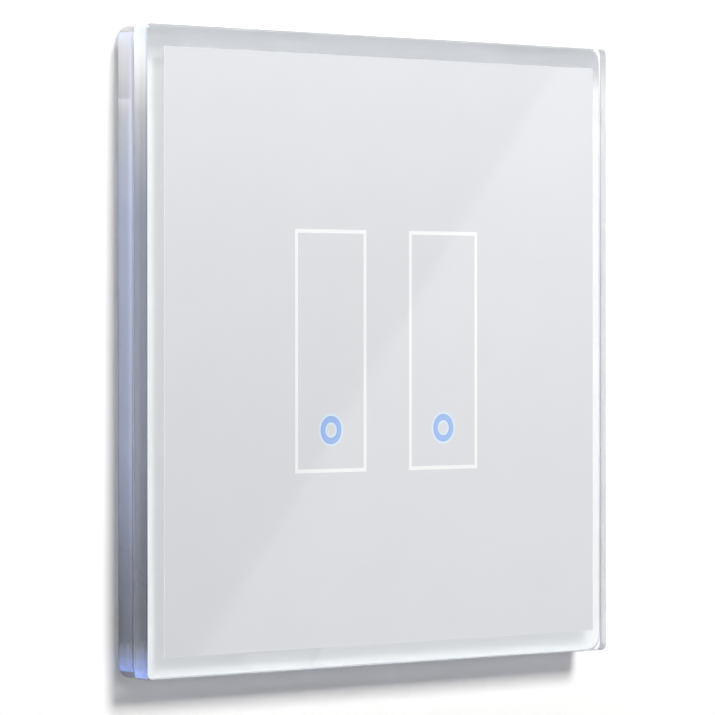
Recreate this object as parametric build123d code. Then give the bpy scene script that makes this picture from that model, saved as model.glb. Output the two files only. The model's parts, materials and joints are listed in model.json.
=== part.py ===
from build123d import *
import os

# Smart light switch with a square glass touch panel, on a 60 mm round wall box.
# Millimetres. X runs to the viewer's right, Z up, Y into the wall.
# The origin is the middle of the mounting frame's back, in the wall's plane.

QUARTERS = (0, 90, 180, 270)

# Front panel, driving sizes
SIDE = 94.0
GLASS_T = 3.0
GLASS_CORNER_R = 1.0
CLEAR_T = 3.5
CLEAR_CORNER_R = 2.2
CLEAR_OPENING = 74.0
CLEAR_OPENING_R = 3.0
ARRIS = 0.25
BOND_T = 0.1
BOND_INSET = 0.3
WALL_GAP = 0.3
PRINT_T = 0.1
PRINT_MARGIN = 3.2

# Touch keys and their rings
KEY_W = 13.7
KEY_H = 35.4
KEY_LINE = 0.56
KEY_SPACING = 23.0
RING_Z = -11.7
RING_OD = 4.2
RING_ID = 2.3

# Electronics behind the glass
MASK_T = 0.5
BOARD_T = 0.8
BOARD_GAP = 0.1
ELECTRODE_T = 0.1
PIPE_D = RING_OD
LED_T = 0.8
EDGE_LIGHT_AT = 24.0
CHIP_Z = 7.0

# Moulded carrier of the panel
CARRIER = CLEAR_OPENING - 0.4
CARRIER_R = 2.8
RIM_T = 1.0
RIM_END = -0.6
FLOOR_T = 1.2
WELL = 40.0
WELL_CUT = 9.6
WELL_T = 1.0
WELL_END = 3.6

# Mounting frame
PLATE = 70.0
PLATE_R = 3.0
PLATE_T = 1.0
PLATE_OPENING = 42.0
PLATE_OPENING_CUT = 9.0
SEAT_DEPTH = 0.2
SEAT_PLAY = 0.3
SINK_T = 0.8
SINK_SHANK_R = 1.0
SLOT_PITCH = 60.0
SLOT_W = 3.6
SLOT_L = 6.0

# Wall module
MODULE = 46.0
MODULE_R = 8.0
WALL = 1.5
COVER_FRONT = 4.0
COVER_BACK = 5.5
MODULE_BACK = 25.0
LAP = 0.6
SEAM = 0.25
BACK_R = 1.2
VENT_W = 1.2
BOSS_AT = 18.2
BOSS_R = 2.0
POWER_FRONT = 9.0
POWER_T = 1.6
POWER_BACK = POWER_FRONT + POWER_T
POWER_SIDE = 42.4
POWER_CUT = 9.4
COIL_Z = 13.2
COIL_H = 11.0
COIL_CORE_R = 1.9
WIRELESS_T = 0.8
WIRELESS_UNDER = 5.5

# Plug between panel and module
PLUG_Z = -8.0
PLUG_COLUMNS = 5
PLUG_PITCH = 2.54
PIN_W = 0.64
PIN_END = 8.2
HEADER_T = 2.5
SOCKET_FRONT = COVER_FRONT + 0.2
SOCKET_PLAY = 0.2

# Terminals, measured as a height above the block's underside
POLES = 4
POLE_PITCH = 8.6
BLOCK_UNDER = -22.3
CHAMBER_W = 7.0
CHAMBER_D = 6.2
CHAMBER_BACK = MODULE_BACK - 1.4
CHAMBER_MID = CHAMBER_BACK - CHAMBER_D / 2
LIP_H = 0.6
SHELF_LOW = 3.2
SHELF_HIGH = 4.0
CHAMBER_HIGH = 16.4
BLOCK_H = 17.4
BAR_LOW = 9.7
BAR_T = 1.2
BAR_W = 4.2
CAGE_W = 6.6
CAGE_D = 5.6
CAGE_SIDE = 0.9
CAGE_NUT_LOW = 7.8
CAGE_NUT_T = 1.6
WIRE_H = 4.3
SCREW_R = 1.75
SCREW_HEAD_R = 2.8
SCREW_SLOT = 0.8
SCREW_END = 9.5

# Relays, lengths along X, heights away from the power board
RELAY_L = 18.4
RELAY_W = 10.2
RELAY_H = 12.4
RELAY_GAP = 1.2
RELAY_Z = 0.8
CASE_T = 0.6
PIN_PLACES = [(2.0, 3.2), (2.0, -3.2), (16.2, 3.2), (16.2, -3.2)]
FOOT_V = 1.45
YOKE_T = 1.0
YOKE_HALF = 3.5
COIL_U = 6.0
COIL_V = (2.5, 8.6)
CORE_R = 1.1
CONTACT_U = 13.9
CONTACT_R = 1.0
PIVOT_U = 1.4
PIVOT_V = 9.5
ARMATURE_LIFT = 4.0

# Depths worked out from the sizes above
CLEAR_FRONT = -WALL_GAP - CLEAR_T
GLASS_BACK = CLEAR_FRONT - BOND_T
GLASS_FRONT = GLASS_BACK - GLASS_T
PRINT_FRONT = GLASS_FRONT - PRINT_T
BOARD_FRONT = GLASS_BACK + MASK_T
BOARD_BACK = BOARD_FRONT + BOARD_T
FLOOR_BACK = BOARD_BACK + FLOOR_T


def facing(depth):
    """The plane at a depth, drawn as X and Z, seen from the room."""
    return Plane(origin=(0, depth, 0), x_dir=(1, 0, 0), z_dir=(0, -1, 0))


def slab(outline, front, back):
    """An outline in X and Z, made solid from one depth to another."""
    return extrude(facing(front) * outline, amount=front - back)


def block(x, y, z):
    """A box from its X, Y and Z spans."""
    spans = (x, y, z)
    sizes = [high - low for low, high in spans]
    middle = [(high + low) / 2 for low, high in spans]
    return Pos(*middle) * Box(*sizes)


def around(middle, size):
    """The span of a size about its middle."""
    return (middle - size / 2, middle + size / 2)


def rounded(side, radius):
    return RectangleRounded(side, side, radius)


def cut_square(side, cut):
    """A square with its corners cut off at 45 degrees."""
    return chamfer(Rectangle(side, side).vertices(), cut)


def group(shapes):
    return Compound(children=list(shapes))


def key_middles():
    return [-KEY_SPACING / 2, KEY_SPACING / 2]


def ring_places():
    return [Pos(x, RING_Z) for x in key_middles()]


def edge_light_places():
    """Two lamps a side, as a turn about Y and a step along that side."""
    steps = (-EDGE_LIGHT_AT, EDGE_LIGHT_AT)
    return [(turn, step) for turn in QUARTERS for step in steps]


# Front panel

def glass_plate():
    plate = slab(rounded(SIDE, GLASS_CORNER_R), GLASS_FRONT, GLASS_BACK)
    front = plate.faces().sort_by(Axis.Y)[0]
    back = plate.faces().sort_by(Axis.Y)[-1]
    return chamfer(front.edges() + back.edges(), ARRIS)


def key_line(x):
    return Pos(x, 0) * (
        Rectangle(KEY_W + KEY_LINE, KEY_H + KEY_LINE)
        - Rectangle(KEY_W - KEY_LINE, KEY_H - KEY_LINE)
    )


def ring(place):
    return place * (Circle(RING_OD / 2) - Circle(RING_ID / 2))


def white_print():
    """White enamel on the glass, left open at the key lines and the rings."""
    sheet = Rectangle(SIDE - 2 * PRINT_MARGIN, SIDE - 2 * PRINT_MARGIN)
    for x in key_middles():
        sheet -= key_line(x)
    for place in ring_places():
        sheet -= ring(place)
    return group(slab(face, PRINT_FRONT, GLASS_FRONT) for face in sheet.faces())


def key_outlines():
    return group(slab(key_line(x), PRINT_FRONT, GLASS_FRONT) for x in key_middles())


def ring_windows():
    return group(slab(ring(place), PRINT_FRONT, GLASS_FRONT) for place in ring_places())


def clear_frame():
    """Clear frame behind the glass, with a pry notch under it."""
    outline = rounded(SIDE, CLEAR_CORNER_R) - rounded(CLEAR_OPENING, CLEAR_OPENING_R)
    frame = slab(outline, CLEAR_FRONT, -WALL_GAP)
    outer = [
        edge
        for face in (frame.faces().sort_by(Axis.Y)[0], frame.faces().sort_by(Axis.Y)[-1])
        for edge in face.outer_wire().edges()
    ]
    frame = chamfer(outer, ARRIS)
    notch_w, notch_up, notch_deep = 12.0, 2.5, 1.2
    notch = block(
        around(0, notch_w),
        (-WALL_GAP - notch_deep, 0),
        (-SIDE / 2 - 1, -SIDE / 2 + notch_up),
    )
    return frame - notch


def edge_bond():
    outline = rounded(SIDE - 2 * BOND_INSET, CLEAR_CORNER_R) - rounded(
        CLEAR_OPENING, CLEAR_OPENING_R
    )
    return slab(outline, GLASS_BACK, CLEAR_FRONT)


def light_mask():
    """Foam sheet that glues the carrier to the glass, pocketed for the electrodes."""
    sheet = rounded(CARRIER, CARRIER_R)
    for place in ring_places():
        sheet -= place * Circle(PIPE_D / 2 + BOARD_GAP / 2)
    mask = slab(sheet, GLASS_BACK, BOARD_FRONT)
    for x in key_middles():
        pocket = Pos(x, 0) * Rectangle(KEY_W - KEY_LINE, KEY_H - KEY_LINE)
        mask -= slab(pocket, BOARD_FRONT - ELECTRODE_T, BOARD_FRONT)
    return mask


def touch_electrodes():
    """A copper field under each key, open where the light pipe passes."""
    pipe_gap = 0.6
    fields = []
    for x, place in zip(key_middles(), ring_places()):
        field = Pos(x, 0) * Rectangle(KEY_W - 2 * KEY_LINE, KEY_H - 2 * KEY_LINE)
        field -= place * Circle(PIPE_D / 2 + pipe_gap)
        fields.append(slab(field, BOARD_FRONT - ELECTRODE_T, BOARD_FRONT))
    return group(fields)


def touch_board():
    """Circuit board, notched where the heads of the box screws need room."""
    side = CARRIER - 2 * RIM_T - 2 * BOARD_GAP
    outline = rounded(side, CARRIER_R - RIM_T)
    notch_deep, notch_w = 10.0, 9.0
    for turn in QUARTERS:
        outline -= Rot(0, 0, turn) * Pos(side / 2, 0) * Rectangle(2 * notch_deep, notch_w)
    for place in ring_places():
        outline -= place * Circle(PIPE_D / 2 + BOARD_GAP / 2)
    return slab(outline, BOARD_FRONT, BOARD_BACK)


def ring_light_pipes():
    return group(
        slab(place * Circle(PIPE_D / 2), GLASS_BACK, BOARD_BACK) for place in ring_places()
    )


def ring_leds():
    """Lamps that bridge the board's holes from behind."""
    length, width = 5.4, 3.0
    return group(
        slab(place * Rectangle(length, width), BOARD_BACK, BOARD_BACK + LED_T)
        for place in ring_places()
    )


def edge_leds():
    width, deep = 3.0, 1.2
    out = (CARRIER / 2 - RIM_T - BOARD_GAP) - deep / 2
    lamps = []
    for turn, step in edge_light_places():
        outline = Rot(0, 0, turn) * Pos(out, step) * Rectangle(deep, width)
        lamps.append(slab(outline, BOARD_BACK, BOARD_BACK + LED_T))
    return group(lamps)


def controller_chip():
    """Flat chip with a row of legs on each side."""
    side, height, lift = 7.0, 1.0, 0.1
    legs, leg_w, leg_l, leg_t, leg_in = 8, 0.4, 1.0, 0.4, 0.2
    at = Pos(0, CHIP_Z)
    body = slab(at * Rectangle(side, side), BOARD_BACK + lift, BOARD_BACK + height)
    pitch = side / (legs + 1)
    feet = []
    for turn in QUARTERS:
        for step in range(legs):
            shift = (step - (legs - 1) / 2) * pitch
            foot = Pos(side / 2 + leg_l / 2 - leg_in, shift) * Rectangle(leg_l, leg_w)
            outline = at * Rot(0, 0, turn) * foot
            feet.append(slab(outline, BOARD_BACK, BOARD_BACK + leg_t))
    return body + feet


def board_passives():
    """Small resistors and capacitors beside the chip."""
    length, width, height = 1.6, 0.8, 0.6
    first, across, up = 8.0, 3.0, 4.0
    parts = []
    for side in (-1, 1):
        for column in range(2):
            for row in range(-1, 2):
                place = Pos(side * (first + across * column), CHIP_Z + up * row)
                outline = place * Rectangle(length, width)
                parts.append(slab(outline, BOARD_BACK, BOARD_BACK + height))
    return group(parts)


def plug_places():
    """Middles of the plug's pins in X and Z."""
    first = -(PLUG_COLUMNS - 1) / 2 * PLUG_PITCH
    return [
        (first + column * PLUG_PITCH, PLUG_Z + row * PLUG_PITCH / 2)
        for column in range(PLUG_COLUMNS)
        for row in (-1, 1)
    ]


def plug_outline(extra=0.0):
    return Pos(0, PLUG_Z) * Rectangle(
        PLUG_COLUMNS * PLUG_PITCH + extra, 2 * PLUG_PITCH + extra
    )


def header_base():
    back = BOARD_BACK + HEADER_T
    base = slab(plug_outline(), BOARD_BACK, back)
    for x, z in plug_places():
        base -= slab(Pos(x, z) * Rectangle(PIN_W, PIN_W), BOARD_BACK, back)
    return base


def header_pins():
    pins = []
    for x, z in plug_places():
        pin = slab(Pos(x, z) * Rectangle(PIN_W, PIN_W), BOARD_BACK, PIN_END)
        tip = pin.faces().sort_by(Axis.Y)[-1]
        pins.append(chamfer(tip.edges(), PIN_W / 4))
    return group(pins)


def panel_carrier():
    """Tray round the board, with a well for the tall parts and light windows."""
    tray = slab(rounded(CARRIER, CARRIER_R), BOARD_FRONT, RIM_END)
    inner = rounded(CARRIER - 2 * RIM_T, CARRIER_R - RIM_T)
    tray -= slab(inner, BOARD_FRONT, BOARD_BACK)
    tray -= slab(inner, FLOOR_BACK, RIM_END)
    tray += slab(cut_square(WELL, WELL_CUT), FLOOR_BACK, WELL_END)
    hollow = cut_square(WELL - 2 * WELL_T, WELL_CUT - WELL_T / 2)
    tray -= slab(hollow, BOARD_BACK, WELL_END - WELL_T)
    plug_room = 1.0
    tray -= slab(plug_outline(plug_room), WELL_END - WELL_T, WELL_END)
    window_w, window_deep = 3.6, 2.6
    for turn, step in edge_light_places():
        window = Pos(CARRIER / 2 - window_deep / 2, step) * Rectangle(window_deep, window_w)
        tray -= slab(Rot(0, 0, turn) * window, BOARD_BACK, RIM_END)
    head_w, head_in, head_out = 8.4, 25.6, 34.4
    for turn in QUARTERS:
        outline = Pos((head_in + head_out) / 2, 0) * Rectangle(head_out - head_in, head_w)
        tray -= slab(Rot(0, 0, turn) * outline, BOARD_BACK, FLOOR_BACK)
    return tray


def panel_clips():
    """Four leaf springs on the well, bulged to catch behind the mounting frame."""
    strip_t, strip_w, end_gap, catch = 0.3, 6.0, 0.1, 0.15
    root = WELL / 2 + strip_t / 2
    crest = PLATE_OPENING / 2 + catch
    bulge_front, bulge_middle, bulge_back = 0.25, 1.2, 2.2
    path = [
        (FLOOR_BACK + end_gap, root),
        (bulge_front, root),
        (bulge_middle, crest),
        (bulge_back, root),
        (WELL_END - end_gap, root),
    ]
    line = Polyline(*[(out, -depth) for depth, out in path])
    side_view = Plane(origin=(0, 0, -strip_w / 2), x_dir=(1, 0, 0), z_dir=(0, 0, 1))
    profile = trace(line, strip_t)
    # drawn with depth along minus Y, then turned so that depth runs along plus Y
    strip = extrude(side_view * profile, amount=strip_w)
    strip = mirror(strip, Plane.XZ)
    return group(Rot(0, turn, 0) * strip for turn in QUARTERS)


# Mounting frame

def mounting_frame():
    """Steel plate with four box slots, a coined seat for the module and screw holes."""
    outline = rounded(PLATE, PLATE_R) - cut_square(PLATE_OPENING, PLATE_OPENING_CUT)
    slot = SlotOverall(SLOT_L, SLOT_W)
    for turn in QUARTERS:
        outline -= Rot(0, 0, turn) * Pos(SLOT_PITCH / 2, 0) * slot
    hole_at, hole_r = 28.5, 1.6
    for x, z in corners(hole_at):
        outline -= Pos(x, z) * Circle(hole_r)
    plate = slab(outline, -PLATE_T, 0)
    seat = rounded(MODULE + 2 * SEAT_PLAY, MODULE_R + SEAT_PLAY)
    plate -= slab(seat, -SEAT_DEPTH, 0)
    for x, z in corners(BOSS_AT):
        hole = Pos(x, -PLATE_T, z) * Rot(-90, 0, 0) * countersunk_hole()
        plate -= hole
    return plate


def corners(distance):
    return [(x, z) for x in (-distance, distance) for z in (-distance, distance)]


def countersunk_hole():
    """Hole for a small flat-headed screw, drawn along Z from the sheet's front."""
    head_r, shank_r = 1.95, SINK_SHANK_R + 0.15
    through = 2 * PLATE_T
    head = Pos(0, 0, SINK_T / 2) * Cone(head_r, shank_r, SINK_T)
    return head + Pos(0, 0, through / 2) * Cylinder(shank_r, through)


def frame_screws():
    """Flat-headed screws through frame and cover into the housing's bosses."""
    head_r, length, slot_w, slot_deep = 1.85, 11.2, 0.5, 0.5
    head = Pos(0, 0, SINK_T / 2) * Cone(head_r, SINK_SHANK_R, SINK_T)
    shank_l = length - SINK_T
    shank = Pos(0, 0, SINK_T + shank_l / 2) * Cylinder(SINK_SHANK_R, shank_l)
    slot = Pos(0, 0, slot_deep / 2) * Box(3 * head_r, slot_w, slot_deep)
    screw = head + shank - slot
    return group(
        Pos(x, -PLATE_T, z) * Rot(-90, 0, 0) * screw for x, z in corners(BOSS_AT)
    )


# Wall module

def boss(x, z):
    """A boss that fills into the module's rounded corner."""
    return Pos(x, z) * Circle(BOSS_R)


def lap_outline():
    """The inner half of the housing's wall, which stands up into the cover."""
    outer = rounded(MODULE - WALL, MODULE_R - WALL / 2)
    return outer - rounded(MODULE - 2 * WALL, MODULE_R - WALL)


def module_cover():
    """Front cover: a sunk plate with a rim that stands against the frame."""
    cover = slab(rounded(MODULE, MODULE_R), -SEAT_DEPTH, COVER_BACK)
    cover = chamfer(cover.faces().sort_by(Axis.Y)[-1].edges(), SEAM)
    cover -= slab(lap_outline(), COVER_BACK - LAP, COVER_BACK)
    cavity = rounded(MODULE - 2 * WALL, MODULE_R - WALL)
    for x, z in corners(BOSS_AT):
        cavity -= boss(x, z)
    cover -= slab(cavity, -SEAT_DEPTH, COVER_FRONT)
    plug_room, hole_play = 0.6, 0.1
    cover -= slab(plug_outline(plug_room), COVER_FRONT, COVER_BACK)
    for x, z in corners(BOSS_AT):
        hole = Pos(x, z) * Circle(SINK_SHANK_R + hole_play)
        cover -= slab(hole, -SEAT_DEPTH, COVER_BACK)
    vents, vent_l, vent_pitch, vent_first = 3, 10.0, 2.8, 10.0
    for step in range(vents):
        vent = Pos(0, vent_first + step * vent_pitch) * SlotOverall(vent_l, VENT_W)
        cover -= slab(vent, COVER_FRONT, COVER_BACK)
    return cover


def block_half_width():
    wall = POLE_PITCH - CHAMBER_W
    return POLES * POLE_PITCH / 2 + wall / 2


def rear_housing():
    """Deep cup with screw bosses, cut away where the terminal block sits."""
    hole_play, hole_deep, block_play = 0.02, 9.0, 0.1
    cup = slab(rounded(MODULE, MODULE_R), COVER_BACK, MODULE_BACK)
    cup = fillet(cup.faces().sort_by(Axis.Y)[-1].edges(), BACK_R)
    cup = chamfer(cup.faces().sort_by(Axis.Y)[0].edges(), SEAM)
    cup += slab(lap_outline(), COVER_BACK - LAP, COVER_BACK)
    cavity = rounded(MODULE - 2 * WALL, MODULE_R - WALL)
    for x, z in corners(BOSS_AT):
        cavity -= boss(x, z)
    cup -= slab(cavity, COVER_BACK, MODULE_BACK - WALL)
    for x, z in corners(BOSS_AT):
        hole = Pos(x, z) * Circle(SINK_SHANK_R + hole_play)
        cup -= slab(hole, COVER_BACK, COVER_BACK + hole_deep)
    reach = block_half_width() + block_play
    cup -= block(
        (-reach, reach),
        (POWER_BACK, MODULE_BACK + 1),
        (-MODULE / 2 - 1, BLOCK_UNDER + BLOCK_H + block_play),
    )
    # ledges that carry the power board
    ledge_w, ledge_h, ledge_under, ledge_z = 8.0, 1.4, 1.2, 9.0
    for side in (-1, 1):
        inner, outer = POWER_SIDE / 2 - ledge_under, MODULE / 2 - WALL
        cup += block(
            sorted_span(side * inner, side * outer),
            (POWER_BACK, POWER_BACK + ledge_h),
            around(ledge_z, ledge_w),
        )
    return cup - housing_vents()


def housing_vents():
    """Slots through the back and through the top wall."""
    back_l, back_first, top_l, top_mid, pitch, beyond = 16.0, 2.0, 8.0, 16.5, 3.0, 0.1
    slots = []
    for step in range(4):
        outline = Pos(0, back_first + step * pitch) * SlotOverall(back_l, VENT_W)
        slots.append(slab(outline, MODULE_BACK - WALL - beyond, MODULE_BACK + beyond))
        across = (step - 1.5) * pitch
        place = Pos(across, top_mid, MODULE / 2 - WALL - beyond) * Rot(0, 0, 90)
        slots.append(extrude(place * SlotOverall(top_l, VENT_W), amount=WALL + 2 * beyond))
    return slots


def sorted_span(first, second):
    return (min(first, second), max(first, second))


def power_board():
    """Mains circuit board, with a hole for each terminal tail and relay pin."""
    tail_hole, pin_hole = 1.3, 1.0
    board = slab(cut_square(POWER_SIDE, POWER_CUT), POWER_FRONT, POWER_BACK)
    for x in pole_middles():
        tail = Pos(x, BLOCK_UNDER + BAR_LOW + BAR_T / 2) * Rectangle(tail_hole, tail_hole)
        board -= slab(tail, POWER_FRONT, POWER_BACK)
    for x, z in relay_pin_places():
        board -= slab(Pos(x, z) * Rectangle(pin_hole, pin_hole), POWER_FRONT, POWER_BACK)
    return board


def socket_strip():
    """Socket for the panel's pins, open right through."""
    strip = slab(plug_outline(), SOCKET_FRONT, POWER_FRONT)
    for x, z in plug_places():
        hole = Pos(x, z) * Rectangle(PIN_W + SOCKET_PLAY, PIN_W + SOCKET_PLAY)
        strip -= slab(hole, SOCKET_FRONT, POWER_FRONT)
    return strip


def wireless_board():
    """Radio module on the front of the power board, with half-round edge pads."""
    wide, high = 20.0, 13.0
    pads, pad_r, pad_pitch, first_pad = 6, 0.4, 1.6, 1.5
    outline = Pos(0, WIRELESS_UNDER + high / 2) * Rectangle(wide, high)
    for side in (-1, 1):
        for step in range(pads):
            pad_z = WIRELESS_UNDER + first_pad + pad_pitch * step
            outline -= Pos(side * wide / 2, pad_z) * Circle(pad_r)
    return slab(outline, POWER_FRONT - WIRELESS_T, POWER_FRONT)


def wireless_shield():
    """Drawn can over the radio parts, open towards its board."""
    wide, high, tall, skin, edge_r = 12.0, 8.5, 2.0, 0.2, 0.4
    base = POWER_FRONT - WIRELESS_T
    low = WIRELESS_UNDER + 1.0
    can = block(around(0, wide), (base - tall, base), (low, low + high))
    front = can.faces().sort_by(Axis.Y)[0]
    can = fillet(front.edges(), edge_r)
    return can - block(
        around(0, wide - 2 * skin),
        (base - tall + skin, base),
        (low + skin, low + high - skin),
    )


# Relays, drawn with length along X and height along Y, the right one first

def relay_pin_places():
    """Middles of the pins of both relays in X and Z."""
    return [
        (side * (RELAY_GAP + u), RELAY_Z + w) for side in (-1, 1) for u, w in PIN_PLACES
    ]


def relay_box(u, v, w):
    """A box in one relay's own lengths: along, away from the board and across."""
    return block(
        (RELAY_GAP + u[0], RELAY_GAP + u[1]),
        (POWER_BACK + v[0], POWER_BACK + v[1]),
        (RELAY_Z + w[0], RELAY_Z + w[1]),
    )


def relay_round(u, v, radius):
    low, high = v
    middle = Pos(RELAY_GAP + u, POWER_BACK + (low + high) / 2, RELAY_Z)
    return middle * Rot(90, 0, 0) * Cylinder(radius, high - low)


def both_relays(shape):
    return group([shape, mirror(shape, Plane.YZ)])


def relay_bases():
    """Moulded foot with four pins that go through the power board."""
    play, foot_t, pin_w, pin_below = 0.05, 1.4, 0.8, 0.5
    half = RELAY_W / 2 - CASE_T - play
    along = (CASE_T + play, RELAY_L - CASE_T - play)
    base = relay_box(along, (0, foot_t), (-half, half))
    for u, w in PIN_PLACES:
        base += relay_box(around(u, pin_w), (-POWER_T - pin_below, 0), around(w, pin_w))
    return both_relays(base)


def relay_covers():
    half, corner_r = RELAY_W / 2, 0.8
    case = relay_box((0, RELAY_L), (0, RELAY_H), (-half, half))
    case = fillet(case.edges().filter_by(Axis.Y), corner_r)
    inside = half - CASE_T
    case -= relay_box(
        (CASE_T, RELAY_L - CASE_T), (0, RELAY_H - CASE_T), (-inside, inside)
    )
    return both_relays(case)


def relay_yokes():
    """L-shaped iron that carries the flux round the coil."""
    across = (-YOKE_HALF, YOKE_HALF)
    foot_end, edge_gap = 9.0, 0.1
    foot = relay_box((PIVOT_U, foot_end), (FOOT_V, FOOT_V + YOKE_T), across)
    back = relay_box((PIVOT_U, PIVOT_U + YOKE_T), (FOOT_V, PIVOT_V - edge_gap), across)
    return both_relays(foot + back)


def relay_coils():
    """Bobbin with its winding: two flanges and a barrel round the core."""
    half, flange_t, wound_r, bore_r = 3.6, 0.65, 3.0, CORE_R + 0.1
    low, high = COIL_V
    along, across = around(COIL_U, 6.6), (-half, half)
    bobbin = relay_box(along, (low, low + flange_t), across)
    bobbin += relay_box(along, (high - flange_t, high), across)
    bobbin += relay_round(COIL_U, (low + flange_t, high - flange_t), wound_r)
    return both_relays(bobbin - relay_round(COIL_U, (low - 0.1, high + 0.1), bore_r))


def relay_cores():
    """Round iron core with a wider pole face under the armature."""
    foot_top, face_r, face_under, face_top = FOOT_V + YOKE_T + 0.01, 2.0, 8.7, 9.35
    core = relay_round(COIL_U, (foot_top, face_top), CORE_R)
    return both_relays(core + relay_round(COIL_U, (face_under, face_top), face_r))


def fixed_contacts():
    """Bent strip with a contact rivet, standing clear of the armature's end."""
    half, strip_t, post_end, arm_top, rivet_top, tip = 1.6, 0.6, 16.2, 8.4, 8.9, 1.0
    across = (-half, half)
    post = relay_box((post_end - strip_t, post_end), (FOOT_V, arm_top), across)
    arm = relay_box((CONTACT_U - tip, post_end), (arm_top - strip_t, arm_top), across)
    rivet = relay_round(CONTACT_U, (arm_top, rivet_top), CONTACT_R)
    return both_relays(post + arm + rivet)


def relay_armature():
    """Rocking iron plate with the moving contact, tilted open about its edge."""
    half, plate_t, plate_end = 3.3, 0.8, 9.8
    blade_half, blade_t, blade_start, tip = 1.4, 0.2, 6.0, 1.1
    rivet_t = 0.55
    back = PIVOT_V + plate_t
    plate = relay_box((PIVOT_U, plate_end), (PIVOT_V, back), (-half, half))
    blade = relay_box(
        (blade_start, CONTACT_U + tip), (back, back + blade_t), (-blade_half, blade_half)
    )
    rivet = relay_round(CONTACT_U, (PIVOT_V - rivet_t, back), CONTACT_R)
    closed = plate + blade + rivet
    pivot = Pos(RELAY_GAP + PIVOT_U, POWER_BACK + PIVOT_V, RELAY_Z)
    return pivot * Rot(0, 0, ARMATURE_LIFT) * pivot.inverse() * closed


# Other parts on the power board

def on_board(x, z, low, high, radius):
    """A round post that stands on the power board, from one height to another."""
    middle = Pos(x, POWER_BACK + (low + high) / 2, z)
    return middle * Rot(90, 0, 0) * Cylinder(radius, high - low)


def transformer_core():
    """Ferrite core: two end bars and two legs round the winding."""
    wide, high, bar, leg = 13.0, 12.0, 2.4, 2.0
    outer = block(
        around(0, wide), (POWER_BACK, POWER_BACK + COIL_H), around(COIL_Z, high)
    )
    window = block(
        around(0, wide - 2 * leg),
        (POWER_BACK + bar, POWER_BACK + COIL_H - bar),
        around(COIL_Z, high + 2),
    )
    return outer - window + on_board(0, COIL_Z, 0, COIL_H, COIL_CORE_R)


def transformer_winding():
    wound_r, wound_h, play = 4.2, 6.0, 0.1
    low, high = (COIL_H - wound_h) / 2, (COIL_H + wound_h) / 2
    wound = on_board(0, COIL_Z, low, high, wound_r)
    return wound - on_board(0, COIL_Z, low, high, COIL_CORE_R + play)


def filter_capacitor():
    """Round can with a pressed groove near its rubber end."""
    x, z, radius, tall = 12.2, 12.0, 3.9, 11.5
    groove_at, groove_r, groove_out = 1.8, 0.6, 0.3
    can = on_board(x, z, 0, tall, radius)
    place = Pos(x, POWER_BACK + groove_at, z) * Rot(90, 0, 0)
    return can - place * Torus(radius + groove_out, groove_r)


def supply_capacitor():
    """Box-shaped film capacitor."""
    tall, edge_r = 11.0, 0.5
    box = block((-11.4, -7.0), (POWER_BACK, POWER_BACK + tall), (6.8, 18.8))
    return fillet(box.edges().filter_by(Axis.Y), edge_r)


def fuse():
    """Small round fuse that stands on the board."""
    x, z, radius, tall = -15.5, 10.2, 3.5, 8.0
    return on_board(x, z, 0, tall, radius)


def varistor():
    """Flat coated disc that stands on edge on two legs."""
    x, z, radius, thick, lift, leg_w, leg_h, leg_step = 18.2, 10.2, 3.2, 2.6, 0.6, 0.6, 2.0, 1.6
    disc = Pos(x, POWER_BACK + radius + lift, z) * Rot(0, 90, 0) * Cylinder(radius, thick)
    legs = [
        block(around(x, leg_w), (POWER_BACK, POWER_BACK + leg_h), around(z + step, leg_w))
        for step in (-leg_step, leg_step)
    ]
    return disc + legs


# Rising-cage terminals

def pole_middles():
    first = -(POLES - 1) / 2 * POLE_PITCH
    return [first + pole * POLE_PITCH for pole in range(POLES)]


def at_height(low, high):
    """A Z span from heights above the block's underside."""
    return (BLOCK_UNDER + low, BLOCK_UNDER + high)


def upright(x, radius, low, high):
    """A round post along Z on a screw's axis."""
    middle = Pos(x, CHAMBER_MID, BLOCK_UNDER + (low + high) / 2)
    return middle * Cylinder(radius, high - low)


def wire_entry(x):
    """Square wire hole that widens towards the outside."""
    middle_z = BLOCK_UNDER + BAR_LOW + BAR_T + WIRE_H / 2
    hole_w, play, flare, beyond = 4.7, 0.3, 1.0, 0.01
    narrow = Rectangle(hole_w, WIRE_H + play)
    wide = Rectangle(hole_w + flare, WIRE_H + play + flare)
    inner = facing(CHAMBER_BACK - beyond) * Pos(x, middle_z) * narrow
    outer = facing(MODULE_BACK + beyond) * Pos(x, middle_z) * wide
    return loft([inner.face(), outer.face()], ruled=True)


def terminal_block():
    """Moulded block: chambers, screw wells with retaining lips, bar slots, entries."""
    half = block_half_width()
    play, lip_reach, beyond = 0.25, 0.3, 0.1
    body = block((-half, half), (POWER_BACK, MODULE_BACK), at_height(0, BLOCK_H))
    for x in pole_middles():
        body -= block(
            around(x, CHAMBER_W),
            around(CHAMBER_MID, CHAMBER_D),
            at_height(SHELF_HIGH, CHAMBER_HIGH),
        )
        body -= upright(x, SCREW_HEAD_R + play, LIP_H, SHELF_LOW)
        body -= upright(x, SCREW_HEAD_R - lip_reach, -beyond, LIP_H + beyond)
        body -= upright(x, SCREW_R + play, SHELF_LOW - beyond, SHELF_HIGH + beyond)
        body -= block(
            around(x, BAR_W),
            (POWER_BACK - beyond, CHAMBER_MID),
            at_height(BAR_LOW, BAR_LOW + BAR_T),
        )
        body -= wire_entry(x)
    return body


def terminal_bars():
    """Contact bar of each pole, with a tail through the power board."""
    front, back = POWER_BACK + 0.1, CHAMBER_BACK - 0.5
    tail_w, tail_below, step = 1.1, 0.8, 0.05
    bars = []
    for x in pole_middles():
        bar = block(around(x, BAR_W), (front, back), at_height(BAR_LOW, BAR_LOW + BAR_T))
        tail = block(
            around(x, tail_w),
            (POWER_FRONT - tail_below, front),
            at_height(BAR_LOW + step, BAR_LOW + BAR_T - step),
        )
        bars.append(bar + tail)
    return group(bars)


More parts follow.
